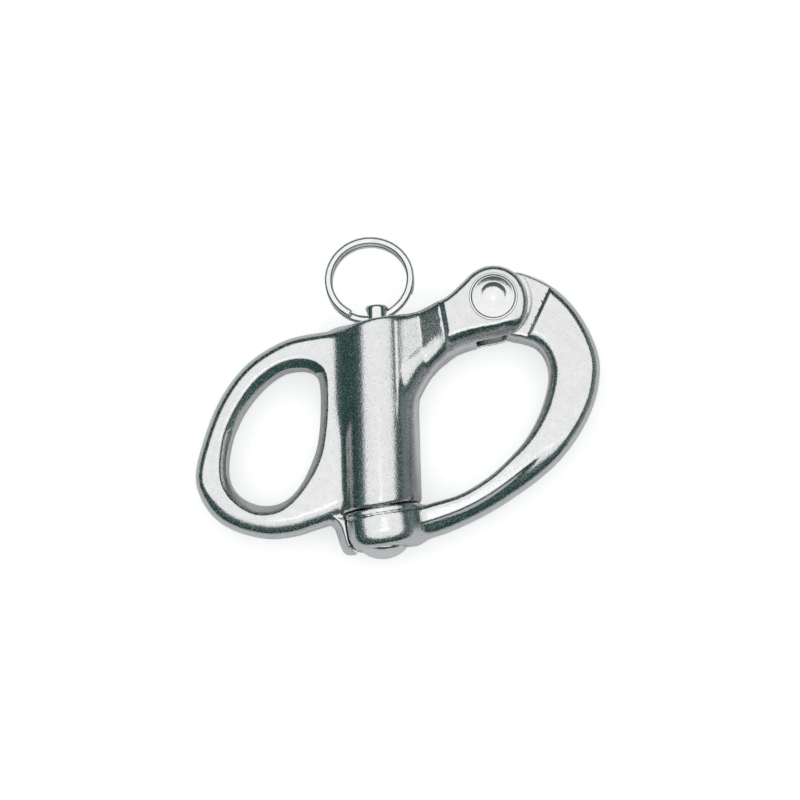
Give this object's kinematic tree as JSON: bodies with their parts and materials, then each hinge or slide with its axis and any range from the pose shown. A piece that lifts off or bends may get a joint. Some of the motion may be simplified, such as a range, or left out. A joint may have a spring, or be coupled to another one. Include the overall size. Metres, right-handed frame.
{
  "type": "snap shackle",
  "caption": "Snap shackle with a fixed eye, a hinged bail in a fork, a spring plunger that locks the bail's end, and a split pull ring.",
  "frame": {"origin": "centre of the fixed eye, on the flat shackle's middle plane", "axes": "+X from the eye towards the bail, +Y along the plunger towards the pull ring, +Z square to the flat faces"},
  "size_m": [0.0673, 0.0547, 0.0142],
  "materials": {
    "cast_steel": "tumbled and polished stainless casting",
    "turned_steel": "turned and polished stainless",
    "wire_steel": "bright drawn stainless wire"
  },
  "bodies": {
    "shackle_body": {"body": "cast_steel", "pivot_rivet": "turned_steel", "spring": "wire_steel"},
    "bail": {"bail": "cast_steel"},
    "plunger": {"plunger": "turned_steel"},
    "pull_ring": {"pull_ring": "wire_steel"}
  },
  "joints": [
    {"name": "bail_pivot", "type": "hinge", "parent": "shackle_body", "child": "bail", "pos_m": [0.037, 0.0218, 0], "axis": [0, 0, 1], "range_deg": [0, 105]},
    {"name": "plunger_slide", "type": "slide", "parent": "shackle_body", "child": "plunger", "axis": [0, 1, 0], "range_m": [0, 0.0085], "stiffness_N_per_m": 400, "deforming": ["spring"]},
    {"name": "ring_swing", "type": "hinge", "parent": "plunger", "child": "pull_ring", "pos_m": [0.0175, 0.02, 0], "axis": [1, 0, 0], "range_deg": [-52, 68]}
  ]
}
